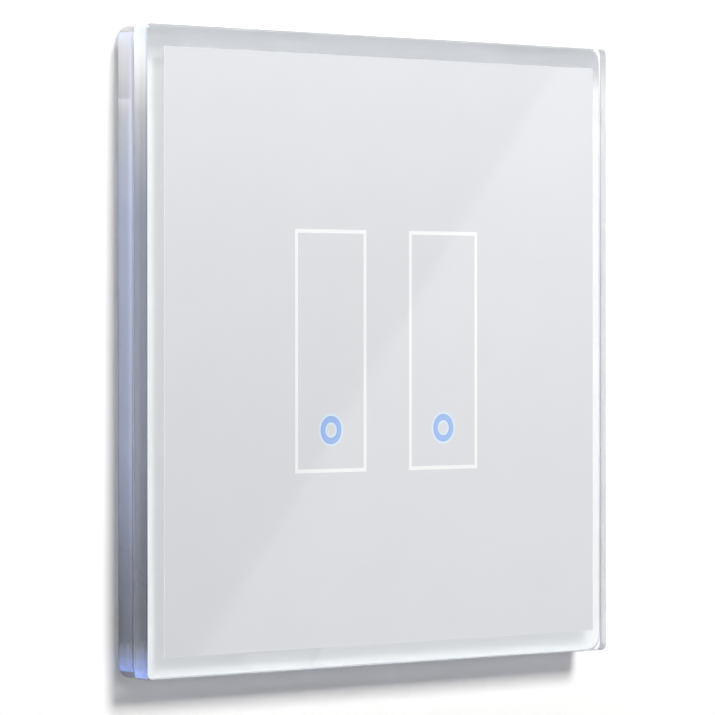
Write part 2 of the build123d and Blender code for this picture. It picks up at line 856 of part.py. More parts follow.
def terminal_screw(x):
    """Slotted screw, held between the block's lip and its shelf."""
    head_low, head_high, bevel = LIP_H + 0.15, SHELF_LOW - 0.1, 0.3
    slot_l, slot_deep = 4.4, 1.15
    head = upright(x, SCREW_HEAD_R, head_low, head_high)
    head = chamfer(head.edges().sort_by(Axis.Z)[0], bevel)
    shank = upright(x, SCREW_R, head_high - bevel, SCREW_END)
    middle = Pos(x, CHAMBER_MID, BLOCK_UNDER + head_low + slot_deep / 2)
    slots = [
        middle * Rot(0, 0, turn) * Box(slot_l, SCREW_SLOT, slot_deep) for turn in (0, 90)
    ]
    return head + shank - slots


def terminal_cage(x):
    """Clamp cage: a nut wall on the screw, two sides and a wire jaw."""
    jaw_low = BAR_LOW + BAR_T + WIRE_H
    corner_r, play = 0.5, 0.05
    teeth_w, tooth, tooth_deep, tooth_step = 3.6, 0.5, 0.3, 1.6
    outline = Rectangle(CAGE_W, jaw_low + CAGE_SIDE - CAGE_NUT_LOW)
    middle_z = BLOCK_UNDER + (jaw_low + CAGE_SIDE + CAGE_NUT_LOW) / 2
    shell = fillet(outline.vertices(), corner_r)
    cage = slab(
        Pos(x, middle_z) * shell, CHAMBER_MID - CAGE_D / 2, CHAMBER_MID + CAGE_D / 2
    )
    cage -= block(
        around(x, CAGE_W - 2 * CAGE_SIDE),
        around(CHAMBER_MID, CAGE_D + 2),
        at_height(CAGE_NUT_LOW + CAGE_NUT_T, jaw_low),
    )
    bore = upright(x, SCREW_R + play, CAGE_NUT_LOW - 1, CAGE_NUT_LOW + CAGE_NUT_T + 1)
    # grooves across the jaw that grip the wire
    grooves = [
        block(
            around(x, teeth_w),
            around(CHAMBER_MID + step, tooth),
            at_height(jaw_low, jaw_low + tooth_deep),
        )
        for step in (-tooth_step, 0, tooth_step)
    ]
    return cage - bore - grooves


NODES = {
    "glass_plate": glass_plate,
    "white_print": white_print,
    "key_outlines": key_outlines,
    "ring_windows": ring_windows,
    "clear_frame": clear_frame,
    "edge_bond": edge_bond,
    "light_mask": light_mask,
    "touch_electrodes": touch_electrodes,
    "touch_board": touch_board,
    "ring_light_pipes": ring_light_pipes,
    "ring_leds": ring_leds,
    "edge_leds": edge_leds,
    "controller_chip": controller_chip,
    "board_passives": board_passives,
    "header_base": header_base,
    "header_pins": header_pins,
    "panel_carrier": panel_carrier,
    "panel_clips": panel_clips,
    "mounting_frame": mounting_frame,
    "frame_screws": frame_screws,
    "module_cover": module_cover,
    "rear_housing": rear_housing,
    "power_board": power_board,
    "socket_strip": socket_strip,
    "wireless_board": wireless_board,
    "wireless_shield": wireless_shield,
    "relay_bases": relay_bases,
    "relay_covers": relay_covers,
    "relay_yokes": relay_yokes,
    "relay_coils": relay_coils,
    "relay_cores": relay_cores,
    "fixed_contacts": fixed_contacts,
    "transformer_core": transformer_core,
    "transformer_winding": transformer_winding,
    "filter_capacitor": filter_capacitor,
    "supply_capacitor": supply_capacitor,
    "fuse": fuse,
    "varistor": varistor,
    "terminal_block": terminal_block,
    "terminal_bars": terminal_bars,
}

os.makedirs("parts", exist_ok=True)
for name, make in NODES.items():
    export_step(make(), f"parts/{name}.step")

armature = relay_armature()
export_step(armature, "parts/relay_armature_1.step")
export_step(mirror(armature, Plane.YZ), "parts/relay_armature_2.step")

for number, x in enumerate(pole_middles(), start=1):
    export_step(terminal_screw(x), f"parts/terminal_screw_{number}.step")
    export_step(terminal_cage(x), f"parts/terminal_cage_{number}.step")
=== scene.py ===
import json
import math

import bmesh
import bpy
from bpy.props import FloatProperty, FloatVectorProperty, PointerProperty
from mathutils import Matrix, Vector


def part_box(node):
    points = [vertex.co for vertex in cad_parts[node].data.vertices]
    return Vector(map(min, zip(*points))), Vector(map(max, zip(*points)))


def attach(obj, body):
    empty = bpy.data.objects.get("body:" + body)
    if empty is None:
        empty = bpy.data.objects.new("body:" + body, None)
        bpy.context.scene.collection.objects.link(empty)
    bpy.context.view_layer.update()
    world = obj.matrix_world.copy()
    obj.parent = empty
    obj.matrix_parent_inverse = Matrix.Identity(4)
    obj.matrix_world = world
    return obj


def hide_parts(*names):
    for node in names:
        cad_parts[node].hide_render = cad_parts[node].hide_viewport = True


bl_info = {
    "name": "Glass touch light switch",
    "version": (1, 0, 0),
    "blender": (4, 5, 0),
    "location": "3D View > Sidebar > Light Switch",
    "description": "Builds the finishes and fine pieces of a glass touch switch",
    "category": "Object",
}

# Lengths are metres. X runs to the viewer's right, Z up, Y into the wall.
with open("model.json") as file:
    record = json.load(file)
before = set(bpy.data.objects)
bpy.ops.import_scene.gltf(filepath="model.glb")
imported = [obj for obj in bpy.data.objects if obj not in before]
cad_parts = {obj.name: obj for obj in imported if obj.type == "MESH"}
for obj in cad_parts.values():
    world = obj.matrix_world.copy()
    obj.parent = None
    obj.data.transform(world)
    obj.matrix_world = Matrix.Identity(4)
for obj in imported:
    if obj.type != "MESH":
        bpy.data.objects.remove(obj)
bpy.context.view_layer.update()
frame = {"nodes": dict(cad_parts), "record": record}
NODES = frame["nodes"]
MM = 0.001
PANEL = "front_panel"
MODULE = "wall_module"
POLES = range(1, 5)
QUARTER = math.radians(90)
SHARP = math.radians(32)


# Sizes read from the frame

def middle(node):
    low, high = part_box(node)
    return (low + high) / 2


GLASS_LOW, GLASS_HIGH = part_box("glass_plate")
CLEAR_LOW, CLEAR_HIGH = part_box("clear_frame")
PRINT_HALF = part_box("white_print")[1].x
HALF = GLASS_HIGH.x

# Sizes that a box doesn't show
OPENING_CORNER = 3.0 * MM
NOTCH_WIDTH, NOTCH_UP, NOTCH_DEEP = 12 * MM, 2.5 * MM, 1.2 * MM
COIL_FLANGE_R, COIL_BARREL_R, COIL_FLANGE = 3.3 * MM, 3.0 * MM, 0.65 * MM
COIL_RIM = 0.6 * MM
RELAY_PINS_IN, RELAY_PINS_UP = (15.75 * MM, 1.55 * MM), 3.2 * MM
SHANK_R, SCREW_HEAD = 1.75 * MM, 2.35 * MM

# A ring's stroke: its middle and half its width, as shares of the outer radius
RING_MIDDLE, RING_HALF = 0.775, 0.225

BOND_BITE = 0.02 * MM


# Settings that a user would change

class SwitchSizes(bpy.types.PropertyGroup):
    glass_corner: FloatProperty(
        name="Glass corner", description="Corner radius of the glass plate",
        default=1.0 * MM, unit="LENGTH", precision=5)
    clear_corner: FloatProperty(
        name="Clear frame corner", description="Corner radius of the clear frame",
        default=2.2 * MM, unit="LENGTH", precision=5)
    arris: FloatProperty(
        name="Arris", description="Width of the ground edge of the glass",
        default=0.25 * MM, unit="LENGTH", precision=5)
    opening: FloatProperty(
        name="Opening", description="Width of the clear frame's opening",
        default=74.0 * MM, unit="LENGTH", precision=5)
    thread_pitch: FloatProperty(
        name="Thread pitch", description="Pitch of the terminal screws",
        default=0.6 * MM, unit="LENGTH", precision=5)
    coil_wire: FloatProperty(
        name="Coil wire", description="Thickness of the relay coil's wire",
        default=0.22 * MM, unit="LENGTH", precision=5)
    solder_reach: FloatProperty(
        name="Solder reach", description="How far solder climbs a pin",
        default=0.55 * MM, unit="LENGTH", precision=5)


def colour(name, description, *value):
    return FloatVectorProperty(
        name=name, description=description, subtype="COLOR", size=3, min=0, max=1,
        default=value)


class SwitchColours(bpy.types.PropertyGroup):
    enamel: colour("Enamel", "White print on the glass", 0.598, 0.614, 0.648)
    line: colour("Key line", "Brighter line round a key", 0.76, 0.77, 0.79)
    window: colour("Ring", "Colour of the lit rings", 0.36, 0.56, 1.0)
    # Also the painted glow and glints at the clear pieces' corners and bottom.
    glow: colour("Glow", "Light that spreads from the lamps", 0.20, 0.34, 0.95)
    glass: colour("Glass", "Tint of the glass", 0.93, 0.95, 0.96)
    # Also scaled into the painted shade and painted glow of the clear edges.
    edge: colour("Glass edge", "Tint of the glass at its edge", 0.64, 0.70, 0.92)
    shell: colour("Shell", "Moulded wall module", 0.62, 0.63, 0.64)
    tray: colour("Tray", "Moulded carrier of the panel", 0.80, 0.81, 0.82)
    board: colour("Board", "Solder mask of the boards", 0.02, 0.16, 0.07)


class StudioSettings(bpy.types.PropertyGroup):
    turn: FloatProperty(
        name="Turn", description="How far left of the switch the camera stands",
        default=math.radians(42.71), unit="ROTATION")
    rise: FloatProperty(
        name="Rise", description="How far above level the camera stands",
        default=math.radians(0.387), unit="ROTATION")
    roll: FloatProperty(
        name="Roll", description="The camera's tilt about its view",
        default=math.radians(-0.03), unit="ROTATION")
    distance: FloatProperty(
        name="Distance", description="Camera to switch", default=0.6959, unit="LENGTH")
    lens: FloatProperty(
        name="Lens", description="Focal length in millimetres", default=232.6)
    key_light: FloatProperty(
        name="Key light", description="Strength of the main lamp in watts",
        default=14.3)
    top_light: FloatProperty(
        name="Top light", description="Strength of the lamp just above in watts",
        default=0.042)
    side_light: FloatProperty(
        name="Side light", description="Strength of the upper left lamp in watts",
        default=0.3)
    back_light: FloatProperty(
        name="Back light", description="Strength of the lamp behind the wall in watts",
        default=8.0)
    card: FloatProperty(
        name="Card", description="Strength of the mirrored card in watts",
        default=0.8)
    fill: FloatProperty(
        name="Fill", description="Strength of the light from all round", default=0.055)
    back_fill: FloatProperty(
        name="Back fill", description="More light from all round behind the wall",
        default=0.45)


# Node trees

class Value:
    """A node's output. Sums on it add Math nodes."""

    def __init__(self, graph, socket):
        self.graph = graph
        self.socket = socket

    def math(self, operation, *terms):
        return self.graph.node(
            "ShaderNodeMath", {"operation": operation}, dict(enumerate(terms)))

    def __add__(self, other):
        return self.math("ADD", self, other)

    def __sub__(self, other):
        return self.math("SUBTRACT", self, other)

    def __rsub__(self, other):
        return self.math("SUBTRACT", other, self)

    def __mul__(self, other):
        return self.math("MULTIPLY", self, other)

    def __truediv__(self, other):
        return self.math("DIVIDE", self, other)

    def __pow__(self, other):
        return self.math("POWER", self, other)

    def __abs__(self):
        return self.math("ABSOLUTE", self)

    def above(self, limit):
        return self.math("GREATER_THAN", self, limit)

    def most(self, other):
        return self.math("MAXIMUM", self, other)

    def least(self, other):
        return self.math("MINIMUM", self, other)

    __radd__ = __add__
    __rmul__ = __mul__


class Graph:
    """A node tree whose nodes come from one method."""

    def __init__(self, tree):
        self.tree = tree

    def node(self, kind, settings=None, inputs=None, output=0):
        made = self.tree.nodes.new(kind)
        for name, value in (settings or {}).items():
            if name == "stops":
                self.set_stops(made.color_ramp, value)
            else:
                setattr(made, name, value)
        for name, value in (inputs or {}).items():
            if isinstance(value, Value):
                self.tree.links.new(value.socket, made.inputs[name])
            else:
                made.inputs[name].default_value = value
        return Value(self, made.outputs[output])

    def set_stops(self, ramp, stops):
        while len(ramp.elements) < len(stops):
            ramp.elements.new(0.5)
        for element, (position, shade) in zip(ramp.elements, stops):
            element.position = position
            element.color = (*shade, 1.0)


def worded(name):
    """A size's name as the label of its input."""
    return name.replace("_", " ").capitalize()


class Growth(Graph):
    """A Geometry Nodes tree that puts one shape on every point it is given."""

    KINDS = {
        int: "NodeSocketInt", float: "NodeSocketFloat", tuple: "NodeSocketRotation"}

    def __init__(self, name, **sizes):
        super().__init__(bpy.data.node_groups.new(name, "GeometryNodeTree"))
        ports = self.tree.interface
        ports.new_socket("Grown", in_out="OUTPUT", socket_type="NodeSocketGeometry")
        ports.new_socket("Places", in_out="INPUT", socket_type="NodeSocketGeometry")
        ports.new_socket("Material", in_out="INPUT", socket_type="NodeSocketMaterial")
        for size, value in sizes.items():
            port = ports.new_socket(
                worded(size), in_out="INPUT", socket_type=self.KINDS[type(value)])
            port.default_value = value
        self.start = self.tree.nodes.new("NodeGroupInput")

    def size(self, name):
        return Value(self, self.start.outputs[name])

    def done(self, shape, turn=(0.0, 0.0, 0.0)):
        """Sets the shape on the points, realises it and gives it its finish."""
        placed = self.node("GeometryNodeInstanceOnPoints", inputs={
            "Points": self.size("Places"), "Instance": shape, "Rotation": turn})
        whole = self.node("GeometryNodeRealizeInstances", inputs={"Geometry": placed})
        dressed = self.node("GeometryNodeSetMaterial", inputs={
            "Geometry": whole, "Material": self.size("Material")})
        end = self.tree.nodes.new("NodeGroupOutput")
        self.tree.links.new(dressed.socket, end.inputs["Grown"])
        return self

    def on(self, places, material, **sizes):
        """Runs the tree on points and gives back a plain mesh."""
        points = bpy.data.meshes.new("points")
        points.from_pydata(places, [], [])
        holder = bpy.data.objects.new("points", points)
        bpy.context.scene.collection.objects.link(holder)
        grown = holder.modifiers.new("grown", "NODES")
        grown.node_group = self.tree
        values = {worded(size): value for size, value in sizes.items()}
        values["Material"] = finish(material)
        for port in self.tree.interface.items_tree:
            if port.in_out == "INPUT" and port.name in values:
                grown[port.identifier] = values[port.name]
        seen = holder.evaluated_get(bpy.context.evaluated_depsgraph_get())
        mesh = bpy.data.meshes.new_from_object(seen)
        holder.modifiers.clear()
        bpy.data.objects.remove(holder)
        return mesh


class Finish(Graph):
    """One material, built from procedural nodes in Object coordinates."""

    def __init__(self, name):
        self.material = bpy.data.materials.new(name)
        self.material.use_nodes = True
        super().__init__(self.material.node_tree)
        self.tree.nodes.clear()
        self.place = self.node("ShaderNodeTexCoord", output="Object")

    def scaled(self, x, y, z):
        """Object coordinates stretched along each axis, in features a metre."""
        return self.node(
            "ShaderNodeMapping", inputs={"Vector": self.place, "Scale": (x, y, z)})

    def noise(self, grain, detail=3.0, rough=0.5, at=None):
        """Cloudy noise with features of about one grain, in metres."""
        return self.node(
            "ShaderNodeTexNoise", inputs={
                "Vector": at or self.place, "Scale": 1.0 if at else 1.0 / grain,
                "Detail": detail, "Roughness": rough})

    def cells(self, grain, output="Distance"):
        return self.node(
            "ShaderNodeTexVoronoi", inputs={"Vector": self.place, "Scale": 1.0 / grain},
            output=output)

    def ramp(self, factor, *stops):
        return self.node("ShaderNodeValToRGB", {"stops": stops}, {"Fac": factor})

    def remap(self, value, low, high, to_low, to_high):
        return self.node("ShaderNodeMapRange", inputs={
            "Value": value, "From Min": low, "From Max": high,
            "To Min": to_low, "To Max": to_high})

    def blend(self, factor, first, second):
        """Mixes two colours, each a link or three numbers."""
        ends = [c if isinstance(c, Value) else (*c, 1.0) for c in (first, second)]
        return self.node(
            "ShaderNodeMix", {"data_type": "RGBA"},
            {0: factor, 6: ends[0], 7: ends[1]}, 2)

    def axis(self, name):
        return self.node(
            "ShaderNodeSeparateXYZ", inputs={"Vector": self.place}, output=name)

    def bump(self, height, depth, strength=1.0, normal=None):
        """A normal from a height between 0 and 1 and its real depth."""
        inputs = {"Height": height, "Distance": depth, "Strength": strength}
        if normal:
            inputs["Normal"] = normal
        return self.node("ShaderNodeBump", inputs=inputs)

    def soft_edges(self, radius):
        return self.node("ShaderNodeBevel", {"samples": 6}, {"Radius": radius})

    def surface(self, **sockets):
        """The Principled shader, with sockets named in plain words."""
        inputs = {}
        for name, value in sockets.items():
            label = name.replace("_", " ").title().replace("Ior", "IOR")
            if label.endswith("Color") and not isinstance(value, Value):
                value = (*value, 1.0)
            inputs[label] = value
        return self.node("ShaderNodeBsdfPrincipled", inputs=inputs)

    def done(self, shader):
        out = self.tree.nodes.new("ShaderNodeOutputMaterial")
        self.tree.links.new(shader.socket, out.inputs["Surface"])
        return self.material


def tinted(base, factor):
    return tuple(min(1.0, c * factor) for c in base)


# Finishes

def enamel(name, colours):
    """Gloss white enamel on glass, with a faint painted glow round the rings and a
    painted light on its rim.
    """
    f = Finish(name)
    cloud = f.noise(9 * MM, 4)
    speck = f.noise(0.35 * MM, 2)
    base = f.blend(cloud, tinted(colours.enamel, 0.985), tinted(colours.enamel, 1.015))
    # Painted glow of the ring lamps on the enamel beside the rings.
    painted_glow_share = glow_round_rings(f)
    # Painted light on the print's rim and sides.
    painted_rim_light = abs(f.axis("X")).most(abs(f.axis("Z"))).above(PRINT_HALF - 0.02 * MM)
    lit = f.blend(painted_glow_share, (0, 0, 0), (0.0, 0.12, 0.22))
    ripple = f.noise(2.2 * MM, 1) * 0.8 + speck * 0.2
    return f.done(f.surface(
        base_color=base,
        roughness=f.remap(speck, 0.3, 0.7, 0.32, 0.42),
        coat_weight=1.0, coat_roughness=0.03, coat_ior=1.5,
        emission_color=f.blend(painted_rim_light, lit, (0.34, 0.35, 0.36)),
        emission_strength=1.0,
        normal=f.bump(ripple, 0.002 * MM)))


def from_ring(f, shift=0.0):
    """Distance to the middle of a ring's stroke, as a share of half its width."""
    low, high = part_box("ring_windows")
    ring_r = (high.z - low.z) / 2
    across = abs(f.axis("X") - shift) - (high.x - ring_r)
    up = f.axis("Z") - (low.z + high.z) / 2
    away = (across * across + up * up) ** 0.5
    return abs(away - RING_MIDDLE * ring_r) / (RING_HALF * ring_r)


def glow_round_rings(f):
    """Share of the painted glow: 1 beside a ring's stroke, fading to 0 within about
    half a millimetre.
    """
    return f.node("ShaderNodeMapRange", {"interpolation_type": "SMOOTHERSTEP"}, {
        "Value": from_ring(f), "From Min": 0.9, "From Max": 2.3,
        "To Min": 1.0, "To Max": 0.0})


def line_enamel(name, colours):
    """Bright, slightly raised ink of the key outlines, lifted a little by a painted
    glow.
    """
    f = Finish(name)
    grain = f.noise(0.25 * MM, 3)
    return f.done(f.surface(
        base_color=f.blend(grain, tinted(colours.line, 0.97), colours.line),
        roughness=f.remap(grain, 0.3, 0.7, 0.3, 0.45),
        coat_weight=1.0, coat_roughness=0.05,
        # Faint painted glow that makes the lines brighter.
        emission_color=f.blend(grain, (0.02, 0.02, 0.02), (0.05, 0.05, 0.05)),
        emission_strength=1.0,
        normal=f.bump(grain, 0.004 * MM)))


def ring_ink(name, colours):
    """Translucent ink, lit from behind, brightest in the middle of its stroke."""
    f = Finish(name)
    edge = from_ring(f, 0.12 * MM)
    lit = f.blend(
        edge * edge, tinted(colours.window, 1.25), tinted(colours.window, 0.85))
    grain = f.noise(0.3 * MM, 2)
    return f.done(f.surface(
        base_color=f.blend(grain, (0.17, 0.26, 0.50), (0.21, 0.30, 0.55)),
        roughness=0.35, coat_weight=1.0, coat_roughness=0.04,
        emission_color=lit, emission_strength=0.26,
        normal=f.bump(grain, 0.003 * MM)))


def clear(name, node, colours, ior, haze, deep, inner):
    """Clear glass or acrylic, hazier and deeper in tint where its edge shows.

    Its edge carries painted shade by height and a painted dark arris; its upright
    flanks a painted glow, with painted glints at the corners and a painted streak along
    the front.
    Haze is what the edge holds back, deep its depth of tint and of the painted shade,
    inner the strength of the painted glow.
    """
    f = Finish(name)
    low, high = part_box(node)
    thick = high.y - low.y
    smear = f.noise(6 * MM, 3)
    x, y, z = f.axis("X"), f.axis("Y"), f.axis("Z")
    from_middle = abs(y - (low.y + high.y) / 2)
    flank = 1 - from_middle.above(0.49 * thick)
    # Painted shade on the edge by height: pale at the very bottom, darkest just above
    # it, lighter upwards to white at the top. Streaks wave its steps.
    streaks = f.noise(1.0, 3, 0.6, at=f.scaled(900, 900, 25))
    height = f.remap(z + (streaks - 0.5) * (3 * MM), -HALF, HALF, 0.0, 1.0)
    painted_shade_by_height = [
        (0.0, 0.95), (0.045, 0.80), (0.06, 0.45), (0.12, 0.46), (0.35, 0.92),
        (0.72, 1.06)]
    edge = f.ramp(
        height, *((at, tinted(colours.edge, share * deep)) for at, share in painted_shade_by_height),
        (0.93, (1.0, 1.0, 1.0)))
    # Painted shade: the ground arris is darkened.
    ground = from_middle.above(0.42 * thick)
    edge = f.blend(ground * 0.5, edge, (0.16, 0.17, 0.21))
    # Painted glints: cells of glow at the corners.
    corner = f.remap(abs(x).least(abs(z)), 0.93 * HALF, HALF, 0.0, 1.0)
    painted_glint_cells = f.cells(1.1 * MM)
    upright = abs(x).above(HALF - 0.3 * MM)
    painted_steady_glow = tinted(colours.edge, inner)
    # Painted glow on the upright flanks by height: blue at the bottom, even in the
    # middle, whiter at the top.
    painted_flank_glow = f.ramp(
        height, (0.0, tinted(colours.glow, 0.55)),
        (0.05, tinted(colours.edge, 0.4 * inner)), (0.35, painted_steady_glow), (0.86, painted_steady_glow),
        (0.96, (0.34, 0.35, 0.40)))
    # Painted streak of light along the front of the flank, stronger higher up.
    painted_seam_streak = f.remap(y, low.y, low.y + 1.2 * MM, 8.0 * inner, 0.0) * height
    painted_flank_glow = f.blend(painted_seam_streak, painted_flank_glow, tinted(colours.edge, 0.62))
    painted_glow_outside = f.blend(corner * painted_glint_cells, painted_flank_glow, colours.glow)
    # Painted glow where an upright flank is seen from inside the piece.
    painted_glow_inside = (0.15, 0.14, 0.145)
    way_out = f.node("ShaderNodeNewGeometry", output="Backfacing")
    rough = f.remap(smear, 0.35, 0.65, 0.004, 0.02)
    face = f.surface(
        base_color=f.blend(smear, tinted(colours.glass, 0.985), colours.glass),
        roughness=rough, ior=ior, transmission_weight=0.88)
    side = f.surface(
        base_color=edge, roughness=rough, ior=ior, transmission_weight=1.0 - haze,
        emission_color=f.blend(
            upright, (0, 0, 0), f.blend(way_out, painted_glow_outside, painted_glow_inside)),
        emission_strength=0.8)
    body = f.node("ShaderNodeMixShader", inputs={0: flank, 1: face, 2: side})
    shadow = f.node("ShaderNodeLightPath", output="Is Shadow Ray")
    open_way = f.node(
        "ShaderNodeBsdfTransparent", inputs={"Color": (*colours.glass, 1.0)})
    return f.done(f.node(
        "ShaderNodeMixShader", inputs={0: shadow * way_out, 1: body, 2: open_way}))


def milky_adhesive(name):
    """Thin milky film that passes some light on. A painted glow lights it all over but
    at its top, where it is painted dark.
    """
    f = Finish(name)
    cloud = f.noise(3 * MM, 3)
    height = f.remap(f.axis("Z"), -HALF, HALF, 0.0, 1.0)
    # Painted glow: even, a little brighter high up, and a dark painted band at the very
    # top.
    glow = f.ramp(
        height, (0.0, (0.64, 0.64, 0.64)), (0.06, (0.64, 0.64, 0.63)),
        (0.93, (0.70, 0.70, 0.68)), (0.965, (0.16, 0.16, 0.185)))
    film = f.surface(
        base_color=f.blend(cloud, (0.22, 0.225, 0.23), (0.28, 0.285, 0.29)),
        roughness=0.6, emission_color=glow, emission_strength=1.0)
    through = f.node(
        "ShaderNodeBsdfTranslucent", inputs={"Color": (0.8, 0.84, 0.95, 1.0)})
    return f.done(f.node("ShaderNodeMixShader", inputs={0: 0.15, 1: film, 2: through}))


def moulded(name, base, rough, grain=0.28 * MM, depth=0.012 * MM):
    """Moulded plastic with a fine spark-eroded grain and faint flow clouds."""
    f = Finish(name)
    cloud = f.noise(7 * MM, 3)
    sparks = f.noise(grain, 5, 0.6)
    return f.done(f.surface(
        base_color=f.blend(cloud, tinted(base, 0.95), tinted(base, 1.04)),
        roughness=f.remap(sparks, 0.3, 0.7, rough - 0.06, rough + 0.1),
        ior=1.5,
        normal=f.bump(sparks, depth, normal=f.soft_edges(0.12 * MM))))


def plated(name, base, rough, brush=(90, 900, 900), spangle=0.0):
    """Plated or bare metal: brush marks, cloudy dulling and spangle where asked."""
    f = Finish(name)
    marks = f.noise(1.0, 4, 0.65, at=f.scaled(*brush))
    dull = f.noise(4 * MM, 4)
    tone = f.blend(dull, tinted(base, 0.86), tinted(base, 1.08))
    if spangle:
        # The cells' random colours pass through a sum, which leaves them grey.
        grain = f.cells(2.2 * MM, "Color") * 1.0
        tone = f.blend(grain * spangle, tone, tinted(base, 0.55))
    spread = marks * 0.5 + dull * 0.5
    return f.done(f.surface(
        base_color=tone, metallic=1.0,
        roughness=f.remap(spread, 0.35, 0.65, rough - 0.08, rough + 0.14),
        normal=f.bump(marks, 0.004 * MM, 0.6, f.soft_edges(0.08 * MM))))


def laminate(name, mask, copper_lift):
    """Circuit board: solder mask over copper lands that show as paler shapes."""
    f = Finish(name)
    across, upward = (
        f.node("ShaderNodeTexWave", {"bands_direction": direction}, {
            "Vector": f.place, "Scale": 0.5 / (0.55 * MM), "Distortion": 0.3})
        for direction in "XZ")
    weave = across * upward
    lands = f.node("ShaderNodeTexVoronoi", {"distance": "CHEBYCHEV", "feature": "F1"}, {
        "Vector": f.place, "Scale": 1.0 / (3.4 * MM)})
    copper = f.remap(lands, 0.36, 0.40, 1.0, 0.0)
    return f.done(f.surface(
        base_color=f.blend(copper, mask, tinted(mask, copper_lift)),
        roughness=f.remap(weave, 0.0, 1.0, 0.28, 0.36),
        coat_weight=0.6, coat_roughness=0.12,
        normal=f.bump(copper * 0.8 + weave * 0.2, 0.03 * MM)))


def wound(name, base, pitch, direction):
    """Wire or tape lying side by side, seen as fine rounded bands, with painted shade
    in the grooves between them and painted highlight on their crowns.
    """
    f = Finish(name)
    # A wave texture has 20 radians a unit, so one band is 0.314 of a unit.
    bands = f.node("ShaderNodeTexWave", {"bands_direction": direction}, {
        "Vector": f.place, "Scale": 0.314 / pitch, "Distortion": 0.15})
    cloud = f.noise(1.5 * MM, 3)
    # Painted shade in the grooves and painted highlight on the crowns.
    tone = f.blend(bands, tinted(base, 0.45), tinted(base, 1.1))
    return f.done(f.surface(
        base_color=f.blend(cloud * 0.35, tone, tinted(base, 0.6)), metallic=0.85,
        roughness=f.remap(cloud, 0.3, 0.7, 0.2, 0.34),
        coat_weight=0.7, coat_roughness=0.1,
        normal=f.bump(bands, 0.5 * pitch)))


def lamp_body(name, colours):
    """White lamp package with a glowing, slightly milky lens."""
    f = Finish(name)
    milky = f.noise(0.4 * MM, 2)
    return f.done(f.surface(
        base_color=f.blend(milky, (0.8, 0.82, 0.7), (0.9, 0.91, 0.86)), roughness=0.3,
        emission_color=f.blend(milky, colours.glow, tinted(colours.glow, 1.1)),
        emission_strength=1.5))


def make_finishes(colours):
    """Every finish, under the name of the record's material slot it stands for."""
    shell = colours.shell
    recipes = {
        "clear_glass": (clear, "glass_plate", colours, 1.52, 0.45, 0.63, 0.024),
        "clear_acrylic": (clear, "clear_frame", colours, 1.49, 0.35, 1.06, 0.11),
        "clear_adhesive": (milky_adhesive,),
        "white_enamel": (enamel, colours),
        "line_enamel": (line_enamel, colours),
        "blue_window": (ring_ink, colours),
        "white_foam": (moulded, (0.86, 0.87, 0.88), 0.8, 0.2 * MM, 0.03 * MM),
        "copper_foil": (plated, (0.78, 0.42, 0.27), 0.34),
        "green_laminate": (laminate, colours.board, 2.4),
        "black_laminate": (laminate, (0.012, 0.014, 0.018), 3.0),
        "lamp_body": (lamp_body, colours),
        "black_epoxy": (moulded, (0.02, 0.02, 0.022), 0.5, 0.1 * MM, 0.006 * MM),
        "chip_ceramic": (moulded, (0.30, 0.22, 0.15), 0.35, 0.15 * MM),
        "black_plastic": (moulded, (0.012, 0.012, 0.013), 0.42, 0.2 * MM, 0.008 * MM),
        "plated_pin": (plated, (0.83, 0.66, 0.33), 0.2, (900, 90, 900)),
        "white_plastic": (moulded, colours.tray, 0.42),
        "spring_steel": (plated, (0.60, 0.60, 0.62), 0.24, (900, 90, 900)),
        "zinc_steel": (plated, (0.66, 0.68, 0.71), 0.34, (90, 900, 900), 0.5),
        "screw_steel": (plated, (0.56, 0.57, 0.59), 0.26, (900, 900, 900)),
        "grey_plastic": (moulded, shell, 0.46, 0.32 * MM, 0.016 * MM),
        "shield_tin": (plated, (0.72, 0.72, 0.72), 0.3, (700, 700, 80)),
        "relay_case": (moulded, (0.02, 0.06, 0.16), 0.34, 0.3 * MM, 0.008 * MM),
        "relay_iron": (plated, (0.50, 0.50, 0.50), 0.38, (300, 90, 300)),
        "copper_winding": (wound, (0.72, 0.30, 0.12), 0.18 * MM, "Y"),
        "contact_brass": (plated, (0.80, 0.60, 0.30), 0.26, (90, 700, 700)),
        "ferrite": (moulded, (0.045, 0.045, 0.048), 0.62, 0.25 * MM, 0.02 * MM),
        "tape_yellow": (wound, (0.72, 0.52, 0.05), 1.4 * MM, "Y"),
        "black_sleeve": (moulded, (0.016, 0.017, 0.03), 0.22, 0.6 * MM, 0.01 * MM),
        "film_box": (moulded, (0.45, 0.33, 0.06), 0.4, 0.3 * MM),
        "varistor_coat": (moulded, (0.02, 0.09, 0.30), 0.3, 0.5 * MM, 0.04 * MM),
        "terminal_plastic": (moulded, tinted(shell, 0.62), 0.44, 0.25 * MM),
        "cage_steel": (plated, (0.63, 0.62, 0.58), 0.32, (300, 300, 300)),
    }
    return {name: make(name, *values) for name, (make, *values) in recipes.items()}


FINISHES = {}


def finish(name):
    if not FINISHES:
        FINISHES.update(make_finishes(bpy.context.scene.switch_colours))
    return FINISHES[name]


def slot_of(node):
    """The record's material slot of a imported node."""
    for entry in frame["record"]["subparts"]:
        if entry["node"] == node:
            return entry["material_slot"]
    raise RuntimeError(f"the record has no node {node}")


def dress(*nodes):
    """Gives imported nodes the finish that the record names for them."""
    for node in nodes:
        slots = NODES[node].material_slots
        for number in range(len(slots)):
            slots[number].material = finish(slot_of(node))


# Mesh building

def add_piece(name, mesh, body, material, stands_for=(), smooth=True):
    """Links a finished mesh, gives it its finish and lets it ride on a body."""
    piece = bpy.data.objects.new(name, mesh)
    bpy.context.scene.collection.objects.link(piece)
    mesh.materials.clear()
    mesh.materials.append(finish(material))
    if smooth:
        mesh.shade_smooth()
        mesh.set_sharp_from_angle(angle=SHARP)
    if stands_for:
        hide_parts(*stands_for)
    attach(piece, body)
    return piece


